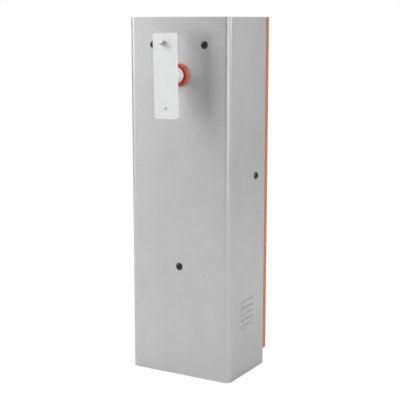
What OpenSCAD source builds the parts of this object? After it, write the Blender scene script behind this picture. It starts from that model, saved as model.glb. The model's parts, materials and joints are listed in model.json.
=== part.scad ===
/* [Cabinet] */
// Width of the cabinet across the arm face
cab_w = 318; // [318:1:480]
// Depth of the cabinet shell, without the door
cab_d = 207; // [207:1:320]
// Height of the cabinet
cab_h = 1000; // [1000:5:1300]
// Sheet thickness of the shell
wall = 2; // [1.5:0.25:3]
// Outer radius of the two vertical bends beside the arm face
bend_r = 16; // [8:1:24]
// Width of the folded edges that frame the door opening
return_w = 20; // [14:1:26]

/* [Base] */
// Height of the base tray's upstand
tray_h = 42; // [30:1:60]
// Thickness of the tray's floor
tray_t = 5; // [4:0.5:8]
// Distance between the anchor holes across the width
anchor_x = 280; // [200:1:284]
// Distance between the anchor holes across the depth
anchor_y = 166; // [120:1:172]
// Radius of the anchor holes
anchor_r = 7; // [5:0.5:9]
// Clear radius of the cable entry
entry_r = 25; // [18:1:32]

/* [Door] */
// Depth of the door pan
door_d = 21; // [15:1:26]
// Gap between the shell and the door
door_gap = 1; // [0.5:0.25:2]
// Height of the door's lower edge above the ground
door_z = 45; // [43:1:80]
// Radius of the door's vertical edges
door_r = 6; // [3:1:8]
// Length of each barrel hinge
hinge_len = 64; // [40:2:90]
// Height of the lock above the ground
lock_z = 490; // [400:5:530]

/* [Arm drive] */
// Distance from the cabinet's top down to the arm shaft
shaft_drop = 155; // [150:1:180]
// Radius of the arm shaft
shaft_r = 15; // [12:0.5:17]
// Distance between the arm shaft and the crank
link_len = 265; // [250:1:290]
// Throw of the lever and of the crank
throw = 60; // [54:1:64]
// Radius of the linkage pins
pin_r = 6; // [5:0.25:7]
// Lean of the boom plate away from upright, in degrees
lean = 1.2; // [0:0.1:3]
// Gear module
gear_m = 2; // [1.75:0.05:2.1]
// Teeth of the output gear
out_teeth = 56; // [52:1:58]
// Teeth of the pinion that turns the output gear
low_teeth = 14; // [13:1:16]
// Teeth of the middle gear
mid_teeth = 48; // [44:1:50]
// Teeth of the motor pinion
mot_teeth = 12; // [11:1:13]

/* [Boom plate] */
// Length of the boom plate
plate_l = 226; // [200:1:260]
// Width of the boom plate
plate_w = 70; // [60:1:90]
// Thickness of the boom plate
plate_t = 10; // [6:0.5:12]
// Distance from the arm face to the front of the boom plate
plate_out = 70; // [60:1:90]
// Distance between the boom bolts
bolt_gap = 170; // [150:1:180]
// Radius of the boom bolt holes
bolt_hole_r = 4.5; // [4.25:0.25:6.5]

/* [Spring] */
// Radius of the spring, to the middle of the wire
spring_r = 23; // [20:0.5:24]
// Radius of the spring wire
wire_r = 3; // [2:0.25:3.5]
// Number of turns
turns = 20; // [14:1:22]
// Height of the spring's lower cup above the ground
cup_z = 104; // [95:1:120]

/* [Motor] */
// Radius of the motor housing
motor_r = 40; // [34:1:40]
// Length of the motor housing
motor_l = 80; // [70:1:86]
// Radius of the motor's shaft
rotor_r = 6; // [5:0.25:7]

/* [Electronics] */
// Width of the control box
box_w = 100; // [80:1:104]
// Height of the control box
box_h = 190; // [150:1:200]
// Depth of the control box without its lid
box_d = 38; // [30:1:40]
// Radius of the ring transformer
ring_tr = 40; // [34:1:42]

/* [Hidden] */
$fn = 64;

// Clearance of a shaft in its bore, and of a sheet that sits in another
fit = 0.05;
sheet_fit = 0.2;
// Gap between parts that move past each other
run = 0.4;

// Cabinet planes
face_y = -cab_d / 2;
back_y = cab_d / 2;
side_x = cab_w / 2;
in_x = side_x - wall;
front_in = face_y + wall;
back_in = back_y - wall;

// Base tray, top cap and the grommet of the cable entry
tray_wall = 3;
cap_h = 24;
entry_at = [-70, -30];
grommet_t = 4;
grommet_lip = [9, 3.5];

// Linkage planes, counted back from the arm face
spacer_l = 11;
carrier_t = 5;
carrier_y = front_in + spacer_l;
mech_y = carrier_y + carrier_t;
lever_t = 12;
lever_y = mech_y + 60.5;
link_y = lever_y + lever_t + run;
link_t = 12;
rear_y = mech_y + 110.5;

// Heights of the axes
shaft_z = cab_h - shaft_drop;
crank_z = shaft_z - link_len;
idler_z = crank_z - gear_m * (out_teeth + low_teeth) / 2;
motor_z = idler_z - gear_m * (mid_teeth + mot_teeth) / 2;

// Screws of the carrier, and the side screw with the two studs beside it
carrier_screws = [[-80, shaft_z + 81], [80, shaft_z + 81], [0, shaft_z - 530.5]];
screw_r = 6;
head_r = 10.75;
head_h = 5.5;
socket_r = 4.6;
socket_depth = 4;
screw_gap = 0.5;
side_screw = [face_y + 152.4, shaft_z - 282];
studs = [[face_y + 36, shaft_z - 237], [face_y + 168.7, shaft_z - 391]];
stud_r = 3;
stud_l = 12;

// Carrier outline
car_x = 98;
car_z0 = shaft_z - 545;
car_z1 = shaft_z + 100;
column = [88, 60];
column_r = 8;

// Bearings: half side, thickness and bolts of the flange, then the round housing
flange = [36, 8];
flange_bolt = [27, 4.2];
housing = [26, 19];

// Lever and stops
arm_r = 14;
rest_angle = -45;
swing = 90 - lean;
stop_x = 45;
bumper_r = 6.5;
bumper_l = 12;
stop_bolt_r = 5;
stop_bolt_l = 34;
stop_ear = [30, 10];
lock_nut = [8, 6];

// Spring rod
rod_x = throw * (1 + cos(rest_angle)) / 2;
rod_y = link_y + link_t / 2;
rod_r = 6;
yoke_z = shaft_z + throw * sin(rest_angle);
slot_half = throw * (1 - cos(rest_angle)) / 2 + pin_r + 0.7;
slot_rise = 2.1;
cup_t = 6;
bracket_z = motor_z - 65;
bracket_t = 8;
bracket_half = 31;
bracket_depth = 30;
bracket_wall = 5;
bracket_drop = 50;
pilot_r = spring_r - wire_r - 1.5;
pilot_h = 12;
nut_af = 19;
nut_pitch = 10;
rod_end = 30;
yoke_wall = 8;
spring_z0 = cup_z + cup_t;

// Gearbox
case_x = gear_m * out_teeth / 2 + 12;
case_z0 = motor_z - 30;
case_z1 = crank_z + gear_m * out_teeth / 2 + 16;
case_wall = 5;
case_r = 20;
case_d = 51.5;
cover_t = 4;
cover_y = mech_y + case_d;
gear_end = cover_y + cover_t;
out_shaft_r = 10;
idler_shaft_r = 6;
cover_screw = [14, 4.5, 3.5];

// Windows of the carrier, between the gearbox and the lever: places and half sizes
window_at = [55, (case_z1 + shaft_z - 95) / 2];
window = [22, 18];

// Motor, its rotor and the hand wheel
motor_wall = 4;
end_cap_t = 6;
boss = [16, 12];
stator_inset = 14;
rotor_body_r = 21.5;
stator_bore_r = 22;
wheel_at = 14;
wheel_r = 30;
wheel_rim = 8;

// Boom end of the shaft
nose_r = 12;
collar_r = 31.5;
collar_h = 9.5;
hub_r = 21.25;
hub_h = 11;
sleeve_r = 16;
plate_front = face_y - plate_out;
plate_back = plate_front + plate_t;
bolt_r = 4;
washer_t = 1.6;
nut_h = 6.8;

// Door and hinges
door_y0 = back_y + door_gap;
door_y1 = door_y0 + door_d;
door_t = 1.8;
barrel_r = 6;
hinge_x = -side_x - barrel_r - 1;
hinge_y = back_y + door_gap / 2;
hinge_at = [door_z + 130, (door_z + cab_h) / 2, cab_h - 130];
hinge_pin_r = 3;
leaf_t = 2;
lock_x = side_x - return_w - 21;
lock_r = 11;
lock_lip = [4, 2.5];
barrel_bore = 6.5;
cam_l = 32;
cam_t = 3;
cam_r = 9;

// Electronics
panel_y = back_in - 61.5;
panel_x = in_x - 113;
panel_z0 = motor_z - 10;
panel_z1 = motor_z + 310;
box_x = in_x - 7 - box_w;
box_z = motor_z + 95;
box_y = panel_y + 2;
board_y = box_y + 8;
board_t = 1.6;
box_wall = 2.5;
lid_d = 9;
relay = [16, 16, 29];
bay_y = back_in - 43.5;
bay_x = [-in_x + 5, -12];
bay_z = 300;
rail_z = 240;
rail = [35, 7.5];
block_n = 8;
block_pitch = 8.2;
block_at = bay_y + 2 + rail[1];
switch_x = bay_x[1] - 32;
rocker_y = bay_y + 34;
transformer_at = [in_x - 53, back_in - 61.5];
ring_hole = 14;
ring_h = 44;
ring_round = 4;
can_r = 17.5;
can_h = 72;

// Louvres on the right side
louvre = [63, 9.4, 3.6];
louvre_t = 1.2;
louvre_n = 5;
louvre_pitch = 17.9;
louvre_y = face_y + 74.7;
louvre_z = 137;

// ---------- building blocks ----------
module block(x0, x1, y0, y1, z0, z1)
    translate([x0, y0, z0]) cube([x1 - x0, y1 - y0, z1 - z0]);

module rod_along_y(r, y0, y1) translate([0, y0, 0]) rotate([-90, 0, 0]) cylinder(r = r, h = y1 - y0);

module rod_along_x(r, x0, x1) translate([x0, 0, 0]) rotate([0, 90, 0]) cylinder(r = r, h = x1 - x0);

// A flat piece drawn in X and Z and given a thickness along Y
module plate_y(y0, y1) translate([0, y1, 0]) rotate([90, 0, 0]) linear_extrude(y1 - y0) children();

// A rectangle with four round corners
module round_rect(x0, x1, z0, z1, r) {
    translate([x0 + r, z0]) square([x1 - x0 - 2 * r, z1 - z0]);
    translate([x0, z0 + r]) square([x1 - x0, z1 - z0 - 2 * r]);
    for (x = [x0 + r, x1 - r], z = [z0 + r, z1 - r]) translate([x, z]) circle(r = r);
}

// Plan of the cabinet at a distance inside its outer face: two round corners, two square
module plan(inset) {
    r = bend_r - inset;
    w = cab_w - 2 * inset;
    translate([-w / 2, face_y + bend_r]) square([w, cab_d - inset - bend_r]);
    translate([-w / 2 + r, face_y + inset]) square([w - 2 * r, cab_d - 2 * inset]);
    for (s = [-1, 1]) translate([s * (side_x - bend_r), face_y + bend_r]) circle(r = r);
}

// Button-head screw along +Y: the head stands out towards -Y from y = 0
module button_screw(len) {
    ball = (head_r * head_r + head_h * head_h) / (2 * head_h);
    difference() {
        union() {
            intersection() {
                translate([0, ball - head_h, 0]) sphere(r = ball);
                translate([-head_r, -head_h, -head_r]) cube([2 * head_r, head_h, 2 * head_r]);
            }
            rod_along_y(screw_r, 0, len);
        }
        translate([0, -head_h - 1, 0]) rotate([-90, 0, 0])
            cylinder(r = socket_r, h = socket_depth + 1, $fn = 6);
    }
}

// Hexagon nut along +Y, across flats af
module hex_y(af, y0, y1, bore) difference() {
    translate([0, y0, 0]) rotate([-90, 0, 0]) cylinder(d = af / cos(30), h = y1 - y0, $fn = 6);
    rod_along_y(bore, y0 - 1, y1 + 1);
}

// Half the angle of a tooth at radius r
function rad(a) = a * PI / 180;
function inv(a) = tan(a) - rad(a);
press = 25;
function half_tooth(n, r) =
    let (rb = gear_m * n / 2 * cos(press), a = r > rb ? acos(rb / r) : 0)
    90 / n * 0.92 + (inv(press) - inv(a)) * 180 / PI;
function flank(n) =
    let (rp = gear_m * n / 2, rb = rp * cos(press), rr = rp - gear_m, rt = rp + 0.75 * gear_m)
    [rr, max(rb, rr) + 0.01, (max(rb, rr) + rp) / 2, rp, (rp + rt) / 2, rt];
function turned(r, a) = [r * cos(a), r * sin(a)];
function gear_points(n) = [for (k = [0 : n - 1], s = [-1, 1], i = [0 : 5])
    let (r = flank(n)[s < 0 ? i : 5 - i]) turned(r, k * 360 / n + s * half_tooth(n, r))];

// Gear drawn in X and Z with a tooth, or a gap, at the angle given
module gear(n, y0, y1, at, gap)
    plate_y(y0, y1) rotate(at + (gap ? 180 / n : 0)) polygon(gear_points(n));

// Turns its children so that local X points along the angle given, in X and Z
module aim(z, angle) translate([0, 0, z]) rotate([0, -angle, 0]) children();

// ---------- cabinet ----------
module louvre_hood(z) {
    d = louvre[2];
    h = louvre[1];
    big = (d * d + h * h) / (2 * d);
    module bulge(r) intersection() {
        translate([side_x + d - big, z]) circle(r = r);
        translate([side_x - 0.5, z]) square([d + 1, h]);
    }
    translate([0, louvre_y + louvre[0], 0]) rotate([90, 0, 0]) {
        linear_extrude(louvre[0]) difference() { bulge(big); bulge(big - louvre_t); }
        for (y = [0, louvre[0] - louvre_t]) translate([0, 0, y]) linear_extrude(louvre_t) bulge(big);
    }
}

module cabinet_shell() color("silver") {
    difference() {
        linear_extrude(cab_h) difference() {
            plan(0);
            plan(wall);
            translate([-side_x + return_w, back_in - 1]) square([cab_w - 2 * return_w, wall + 2]);
        }
        translate([0, 0, shaft_z]) rod_along_y(shaft_r + 3, face_y - 1, front_in + 1);
        for (p = carrier_screws)
            translate([p[0], 0, p[1]]) rod_along_y(screw_r + screw_gap, face_y - 1, front_in + 1);
        translate([0, side_screw[0], side_screw[1]]) rod_along_x(screw_r + screw_gap, in_x - 1, side_x + 1);
        for (i = [0 : louvre_n - 1])
            block(in_x - 1, side_x + 1, louvre_y + louvre_t, louvre_y + louvre[0] - louvre_t,
                louvre_z + i * louvre_pitch, louvre_z + i * louvre_pitch + louvre[1] - 2);
    }
    for (i = [0 : louvre_n - 1]) louvre_hood(louvre_z + i * louvre_pitch);
    for (p = studs) translate([0, p[0], p[1]]) rod_along_x(stud_r, in_x - stud_l, in_x + 0.5);
}

module base_tray() color("gainsboro") difference() {
    linear_extrude(tray_h) plan(wall + sheet_fit);
    translate([0, 0, tray_t]) linear_extrude(tray_h) plan(wall + sheet_fit + tray_wall);
    for (x = [-1, 1], y = [-1, 1])
        translate([x * anchor_x / 2, y * anchor_y / 2, -1]) cylinder(r = anchor_r, h = tray_t + 2);
    translate([entry_at[0], entry_at[1], -1]) cylinder(r = entry_r + grommet_t, h = tray_t + 2);
}
module cable_grommet() color("dimgray") translate([entry_at[0], entry_at[1], 0]) rotate_extrude()
    difference() {
        union() {
            translate([entry_r, 0]) square([grommet_t - fit, tray_t + 4]);
            translate([entry_r, tray_t + fit]) square(grommet_lip);
        }
        translate([entry_r + grommet_t - fit, tray_t + grommet_lip[1]]) square([6, 2]);
    }

module top_cap() color("silver") translate([0, 0, cab_h - cap_h]) difference() {
    linear_extrude(cap_h) plan(wall + sheet_fit);
    translate([0, 0, -1]) linear_extrude(cap_h - wall + 1) plan(2 * wall + sheet_fit);
}

module face_screws() color("#28242a") {
    for (p = carrier_screws) translate([p[0], face_y, p[1]]) button_screw(mech_y - face_y);
    translate([side_x, side_screw[0], side_screw[1]]) rotate([0, 0, 90]) button_screw(wall + 4.5);
}

// ---------- carrier ----------
module carrier_spacers() color("silver") for (p = carrier_screws) translate([p[0], 0, p[1]])
    difference() {
        rod_along_y(screw_r + 4, front_in, carrier_y);
        rod_along_y(screw_r + fit, front_in - 1, carrier_y + 1);
    }

module front_carrier() color("slategray") difference() {
    plate_y(carrier_y, mech_y) difference() {
        round_rect(-car_x, car_x, car_z0, car_z1, 12);
        translate([0, shaft_z]) circle(r = shaft_r + 8);
        for (p = carrier_screws) translate(p) circle(r = screw_r + fit);
        for (s = [-1, 1]) translate([s * window_at[0], window_at[1]])
            round_rect(-window[0], window[0], -window[1], window[1], 8);
    }
}

module rear_carrier() color("slategray") plate_y(rear_y, rear_y + carrier_t) difference() {
    round_rect(-car_x, car_x, shaft_z - column[1] - 14, shaft_z + column[1] + 14, 10);
    translate([0, shaft_z]) circle(r = shaft_r + 8);
}

module tie_columns() color("silver") for (x = [-1, 1], z = [-1, 1])
    translate([x * column[0], 0, shaft_z + z * column[1]]) rod_along_y(column_r, mech_y, rear_y);

// Square flange with a round housing; its bore carries the shaft
module bearing(y, back) translate([0, y, shaft_z]) difference() {
    union() {
        plate_y(0, flange[1]) round_rect(-flange[0], flange[0], -flange[0], flange[0], 10);
        rod_along_y(housing[0], 0, housing[1]);
        if (back > 0) rod_along_y(shaft_r + 8 - 0.5, -back, 1);
    }
    rod_along_y(shaft_r + fit, -back - 1, housing[1] + 1);
    for (x = [-1, 1], z = [-1, 1]) translate([x * flange_bolt[0], 0, z * flange_bolt[0]])
        rod_along_y(flange_bolt[1], -1, flange[1] + 1);
}

module shaft_bearings() color("steelblue") {
    bearing(mech_y, carrier_t);
    bearing(rear_y + carrier_t, carrier_t);
}

// ---------- stops ----------
// Places its children at a stop: the lever lies along local X, the stop stands off along local Z
module at_stops() {
    aim(shaft_z, rest_angle) translate([stop_x, lever_y + lever_t / 2, 0]) mirror([0, 0, 1]) children();
    aim(shaft_z, rest_angle + swing) translate([stop_x, lever_y + lever_t / 2, 0]) children();
}
stop_z0 = arm_r + 0.3;
ear_z0 = stop_z0 + bumper_l + lock_nut[1] + 8;
ear_y = lever_t / 2 + 2;

module stop_bumpers() color("#202020") at_stops() translate([0, 0, stop_z0])
    cylinder(r = bumper_r, h = bumper_l);

module stop_bolts() color("silver") at_stops() {
    translate([0, 0, stop_z0 + bumper_l]) cylinder(r = stop_bolt_r, h = stop_bolt_l);
    translate([0, 0, ear_z0 - lock_nut[1]]) cylinder(r = lock_nut[0], h = lock_nut[1], $fn = 6);
}

module stop_brackets() color("slategray") at_stops() difference() {
    block(-stop_ear[0] / 2, stop_ear[0] / 2, mech_y - lever_y - lever_t / 2, ear_y,
        ear_z0, ear_z0 + stop_ear[1]);
    translate([0, 0, ear_z0 - 1]) cylinder(r = stop_bolt_r + fit, h = stop_ear[1] + 2);
}

// ---------- balance spring ----------
module spring_bracket() color("slategray") difference() {
    union() {
        block(rod_x - bracket_half, rod_x + bracket_half, mech_y, rod_y + bracket_depth,
            bracket_z, bracket_z + bracket_t);
        block(rod_x - bracket_half, rod_x + bracket_half, mech_y, mech_y + bracket_wall,
            bracket_z - bracket_drop, bracket_z);
        for (s = [-bracket_half, bracket_half - bracket_wall])
            translate([rod_x + s, mech_y, bracket_z]) rotate([0, 90, 0]) linear_extrude(bracket_wall)
                polygon([[0, 0], [bracket_drop, 0], [bracket_drop, 12], [0, 70]]);
        translate([rod_x, rod_y, bracket_z - pilot_h + 2]) cylinder(r = pilot_r, h = pilot_h - 1);
    }
    translate([rod_x, rod_y, bracket_z - pilot_h + 1])
        cylinder(r = rod_r + 0.1, h = bracket_t + pilot_h);
}

// The wire's turns, as rings of points along a helix
coil_steps = 16;
coil_sides = 8;
coil_rings = turns * coil_steps;
coil_z0 = spring_z0 + wire_r + 0.3;
coil_z1 = bracket_z - wire_r - 0.1;
coil_points = [for (i = [0 : coil_rings], j = [0 : coil_sides - 1])
    let (a = i * 360 / coil_steps, b = j * 360 / coil_sides, r = spring_r + wire_r * cos(b))
    [r * cos(a), r * sin(a), coil_z0 + (coil_z1 - coil_z0) * i / coil_rings + wire_r * sin(b)]];
coil_last = coil_rings * coil_sides;
coil_faces = concat(
    [[for (j = [0 : coil_sides - 1]) j]],
    [[for (j = [0 : coil_sides - 1]) coil_last + coil_sides - 1 - j]],
    [for (i = [0 : coil_rings - 1], j = [0 : coil_sides - 1], k = [0, 1])
        let (p = i * coil_sides + j, q = i * coil_sides + (j + 1) % coil_sides)
        k == 0 ? [p, p + coil_sides, q + coil_sides] : [p, q + coil_sides, q]]);

module balance_spring() color("dimgray") translate([rod_x, rod_y, 0])
    polyhedron(points = coil_points, faces = coil_faces);

module spring_cup() color("silver") translate([rod_x, rod_y, cup_z]) difference() {
    union() {
        cylinder(r = spring_r + wire_r + 3, h = cup_t);
        cylinder(r = pilot_r, h = cup_t + pilot_h);
    }
    translate([0, 0, -1]) cylinder(r = rod_r + fit, h = cup_t + pilot_h + 2);
}

module adjusting_nuts() color("silver") for (i = [0, 1])
    translate([rod_x, rod_y, cup_z - nut_pitch * (i + 1)]) difference() {
        cylinder(d = nut_af / cos(30), h = nut_pitch - 0.3 * i, $fn = 6);
        translate([0, 0, -1]) cylinder(r = rod_r + fit, h = nut_pitch + 2);
    }

module balance_rod() color("silver") {
    translate([rod_x, rod_y, cup_z - rod_end]) cylinder(r = rod_r, h = yoke_z - cup_z + rod_end - 12);
    plate_y(link_y, link_y + link_t) translate([rod_x, yoke_z]) difference() {
        round_rect(-slot_half - yoke_wall, slot_half + yoke_wall, -pin_r - slot_rise - yoke_wall,
            pin_r + slot_rise + yoke_wall, 8);
        round_rect(-slot_half, slot_half, -pin_r - slot_rise, pin_r + slot_rise, 6);
    }
}

// ---------- gearbox and motor ----------
module case_plan(inset) round_rect(-case_x + inset, case_x - inset, case_z0 + inset,
    case_z1 - inset, case_r - inset);

module shaft_holes(y0, y1) {
    translate([0, 0, crank_z]) rod_along_y(out_shaft_r + fit, y0, y1);
    translate([0, 0, idler_z]) rod_along_y(idler_shaft_r + fit, y0, y1);
    translate([0, 0, motor_z]) rod_along_y(rotor_r + fit, y0, y1);
}

module gearbox_case() color("lightgray") difference() {
    plate_y(mech_y, cover_y) case_plan(0);
    plate_y(mech_y + case_wall, cover_y + 1) case_plan(case_wall);
    shaft_holes(mech_y - 1, mech_y + case_wall + 1);
}

module gearbox_cover() color("lightgray") difference() {
    plate_y(cover_y, gear_end) case_plan(0);
    shaft_holes(cover_y - 1, gear_end + 1);
}

module gearbox_screws() color("#303030")
    for (x = [-1, 1], z = [case_z0 + cover_screw[0], case_z1 - cover_screw[0]])
    translate([x * (case_x - cover_screw[0]), gear_end, z]) difference() {
        rod_along_y(cover_screw[1], 0, cover_screw[2]);
        translate([0, 2, 0]) rotate([-90, 0, 0]) cylinder(r = 2.3, h = 3, $fn = 6);
    }

module motor_housing() color("dimgray") translate([0, gear_end, motor_z]) difference() {
    union() {
        rod_along_y(motor_r + 6, 0, motor_wall);
        rod_along_y(motor_r, motor_wall - 1, motor_l);
    }
    rod_along_y(motor_r - motor_wall, motor_wall, motor_l + 1);
    rod_along_y(rotor_r + fit, -1, motor_wall + 1);
}

module motor_stator() color("#b06030") translate([0, gear_end, motor_z]) difference() {
    rod_along_y(motor_r - motor_wall - fit, stator_inset, motor_l - stator_inset);
    rod_along_y(stator_bore_r, stator_inset - 1, motor_l - stator_inset + 1);
}

module motor_end_cap() color("gray") translate([0, gear_end + motor_l, motor_z]) difference() {
    union() {
        rod_along_y(motor_r, 0, end_cap_t);
        rod_along_y(motor_r - motor_wall - fit, -motor_wall, 1);
        rod_along_y(boss[0], end_cap_t - 1, boss[1]);
    }
    rod_along_y(rotor_r + fit, -motor_wall - 1, boss[1] + 1);
}

module motor_rotor() color("silver") translate([0, 0, motor_z]) {
    rod_along_y(rotor_r, mech_y + 1, gear_end + motor_l + wheel_at + 12);
    rod_along_y(rotor_body_r, gear_end + stator_inset, gear_end + motor_l - stator_inset);
    gear(mot_teeth, mech_y + 11, mech_y + 28, 90, true);
}

module hand_wheel() color("firebrick") translate([0, gear_end + motor_l + wheel_at, motor_z]) difference() {
    spoke = wheel_r - wheel_rim + 2;
    union() {
        rod_along_y(11, 0, 12);
        difference() { rod_along_y(wheel_r, 2, 10); rod_along_y(wheel_r - wheel_rim, 1, 11); }
        for (a = [0, 60, 120]) rotate([0, a, 0]) block(-spoke, spoke, 3, 8, -4, 4);
    }
    rod_along_y(rotor_r + fit, -1, 13);
}

module idler_gears() color("goldenrod") translate([0, 0, idler_z]) {
    rod_along_y(idler_shaft_r, mech_y + 1, gear_end - 0.5);
    gear(mid_teeth, mech_y + 13.5, mech_y + 25.5, -90, false);
    gear(low_teeth, mech_y + 33.5, mech_y + 50, 90, true);
}

module output_gear() color("goldenrod") translate([0, 0, crank_z]) {
    rod_along_y(out_shaft_r, mech_y + 1, lever_y + lever_t + 4);
    gear(out_teeth, mech_y + 35.5, mech_y + 49.5, -90, false);
}

module crank_arm() color("#707880") aim(crank_z, rest_angle + 180) difference() {
    union() {
        plate_y(lever_y, lever_y + lever_t) {
            circle(r = 22);
            translate([0, -arm_r]) square([throw, 2 * arm_r]);
            translate([throw, 0]) circle(r = arm_r);
        }
        rod_along_y(20, gear_end + 0.5, lever_y + lever_t + 4);
        translate([throw, 0, 0]) {
            rod_along_y(pin_r, lever_y, link_y + link_t + run + 3);
            rod_along_y(pin_r + 3, link_y + link_t + run, link_y + link_t + run + 3);
        }
    }
    rod_along_y(out_shaft_r + fit, gear_end, lever_y + lever_t + 5);
}

// ---------- arm shaft ----------
module main_shaft() color("silver") translate([0, 0, shaft_z]) {
    rod_along_y(nose_r, plate_back + 3, face_y);
    rod_along_y(shaft_r, face_y - 6, rear_y + carrier_t + 28);
}

module ring_collar() color("#c85a48") translate([0, 0, shaft_z]) difference() {
    rod_along_y(collar_r, face_y - collar_h, face_y);
    rod_along_y(collar_r - 7, face_y - collar_h - 1, face_y - collar_h + 3);
    rod_along_y(shaft_r + 1, face_y - collar_h - 1, face_y + 1);
}

module boom_hub() color("white") translate([0, 0, shaft_z]) difference() {
    union() {
        rod_along_y(hub_r, face_y - collar_h - 0.5 - hub_h, face_y - collar_h - 0.5);
        rod_along_y(sleeve_r, plate_back, face_y - collar_h - hub_h);
    }
    rod_along_y(nose_r + fit, plate_back + 2, face_y);
}

module on_plate() translate([0, 0, shaft_z]) rotate([0, -lean, 0]) children();

module boom_plate() color("white") on_plate() difference() {
    plate_y(plate_front, plate_back)
        round_rect(-plate_w / 2, plate_w / 2, -plate_l / 2, plate_l / 2, 5);
    for (s = [-1, 1]) translate([0, 0, s * bolt_gap / 2])
        rod_along_y(bolt_hole_r, plate_front - 1, plate_back + 1);
}

module boom_bolt() color("#b8a060") on_plate() translate([0, 0, bolt_gap / 2]) {
    rod_along_y(bolt_r, plate_front - 16, plate_back + 1);
    translate([0, plate_back, 0]) rotate([-90, 0, 0]) cylinder(d = 13 / cos(30), h = 5.5, $fn = 6);
}

module boom_nut() color("silver") on_plate() translate([0, plate_front, bolt_gap / 2]) {
    hex_y(13, -washer_t - nut_h, -washer_t, bolt_r + fit);
    difference() {
        rod_along_y(8, -washer_t, 0);
        rod_along_y(bolt_r + fit, -washer_t - 1, 1);
    }
}

module rocker_lever() color("#707880") aim(shaft_z, rest_angle) difference() {
    union() {
        plate_y(lever_y, lever_y + lever_t) {
            translate([-throw, -arm_r]) square([2 * throw, 2 * arm_r]);
            for (s = [-1, 1]) translate([s * throw, 0]) circle(r = arm_r);
        }
        rod_along_y(25, lever_y - 6, lever_y + lever_t + 6);
    }
    rod_along_y(shaft_r + fit, lever_y - 7, lever_y + lever_t + 7);
    for (s = [-1, 1]) translate([s * throw, 0, 0])
        rod_along_y(pin_r + fit, lever_y - 1, lever_y + lever_t + 1);
}

module lever_pins() color("silver") aim(shaft_z, rest_angle) for (s = [-1, 1])
    translate([s * throw, 0, 0]) {
        rod_along_y(pin_r + 3, lever_y - 3, lever_y);
        rod_along_y(pin_r, lever_y - 1, link_y + link_t + run + 3);
        rod_along_y(pin_r + 5, link_y + link_t + run, link_y + link_t + run + 3);
    }

module drive_rod() color("#9098a0") {
    link_pin = [throw * cos(rest_angle + 180), throw * sin(rest_angle + 180)];
    translate([link_pin[0], 0, 0]) difference() {
        union() {
            for (z = [crank_z, shaft_z]) translate([0, 0, z + link_pin[1]])
                rod_along_y(arm_r - 0.5, link_y, link_y + link_t);
            translate([0, rod_y, crank_z + link_pin[1] + 11]) cylinder(r = 5.5, h = link_len - 22);
            translate([0, rod_y, crank_z + link_pin[1] + 55])
                cylinder(r = 10, h = link_len - 110, $fn = 6);
            for (z = [46, link_len - 54]) translate([0, rod_y, crank_z + link_pin[1] + z])
                cylinder(r = 9, h = 8, $fn = 6);
        }
        for (z = [crank_z, shaft_z]) translate([0, 0, z + link_pin[1]])
            rod_along_y(pin_r + 0.1, link_y - 1, link_y + link_t + 1);
    }
}

module position_disc() color("#303438") translate([0, rear_y + carrier_t + 21, shaft_z]) difference() {
    rod_along_y(36, 0, 2);
    rod_along_y(shaft_r + fit, -1, 3);
    for (a = [0, 90]) rotate([0, a, 0]) block(-3, 3, -1, 3, 26, 33);
}

module position_sensor() color("#203040") translate([0, rear_y + carrier_t, shaft_z]) {
    difference() {
        block(28, 52, 16, 28, -9, 9);
        block(27, 40, 20, 24, -10, 10);
    }
    block(46, 52, 0, 17, -9, 9);
}

// ---------- electronics ----------
module electronics_plate() color("lightsteelblue") difference() {
    union() {
        block(panel_x, in_x, panel_y, panel_y + 2, panel_z0, panel_z1);
        block(in_x - 2, in_x, panel_y, panel_y + 36, panel_z0, panel_z1);
    }
    translate([0, side_screw[0], side_screw[1]]) rod_along_x(screw_r + fit, in_x - 3, in_x + 1);
    for (p = studs) translate([0, p[0], p[1]]) rod_along_x(stud_r + fit, in_x - 3, in_x + 1);
}

module control_box() color("whitesmoke") difference() {
    block(box_x, box_x + box_w, box_y, box_y + box_d, box_z, box_z + box_h);
    block(box_x + box_wall, box_x + box_w - box_wall, box_y + box_wall, box_y + box_d + 1,
        box_z + box_wall, box_z + box_h - box_wall);
}

module control_lid() color([0.8, 0.85, 0.9, 0.5]) difference() {
    block(box_x, box_x + box_w, box_y + box_d, box_y + box_d + lid_d, box_z, box_z + box_h);
    block(box_x + box_wall, box_x + box_w - box_wall, box_y + box_d - 1,
        box_y + box_d + lid_d - box_wall, box_z + box_wall, box_z + box_h - box_wall);
}

module circuit_board() color("darkgreen") {
    block(box_x + 6, box_x + box_w - 6, board_y, board_y + board_t, box_z + 6, box_z + box_h - 6);
    for (x = [12, box_w - 12], z = [12, box_h - 12])
        translate([box_x + x, 0, box_z + z]) rod_along_y(3.5, box_y + box_wall, board_y);
}

module board_relays() color("#202428") for (i = [0 : 3])
    translate([box_x + 10 + i * (relay[0] + 4), board_y + board_t, box_z + box_h - 60]) cube(relay);

module board_terminals() color("seagreen") for (z = [10, 30])
    difference() {
        block(box_x + 18, box_x + box_w - 18, board_y + board_t, board_y + board_t + 12,
            box_z + z, box_z + z + 10);
        for (i = [0 : 7]) translate([box_x + 23 + i * (box_w - 46) / 7, 0, box_z + z + 5])
            rod_along_y(2, board_y + 9, board_y + 15);
    }

module transformer() color("#c8a040") translate([transformer_at[0], transformer_at[1], tray_t])
    rotate_extrude() {
        in_r = ring_hole + ring_round;
        out_r = ring_tr - 2 * ring_round;
        translate([ring_hole, ring_round])
            square([ring_tr - ring_round - ring_hole, ring_h - 2 * ring_round]);
        translate([in_r, 0]) square([out_r - in_r, ring_h]);
        for (x = [in_r, out_r], z = [ring_round, ring_h - ring_round])
            translate([x, z]) circle(r = ring_round);
    }

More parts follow.
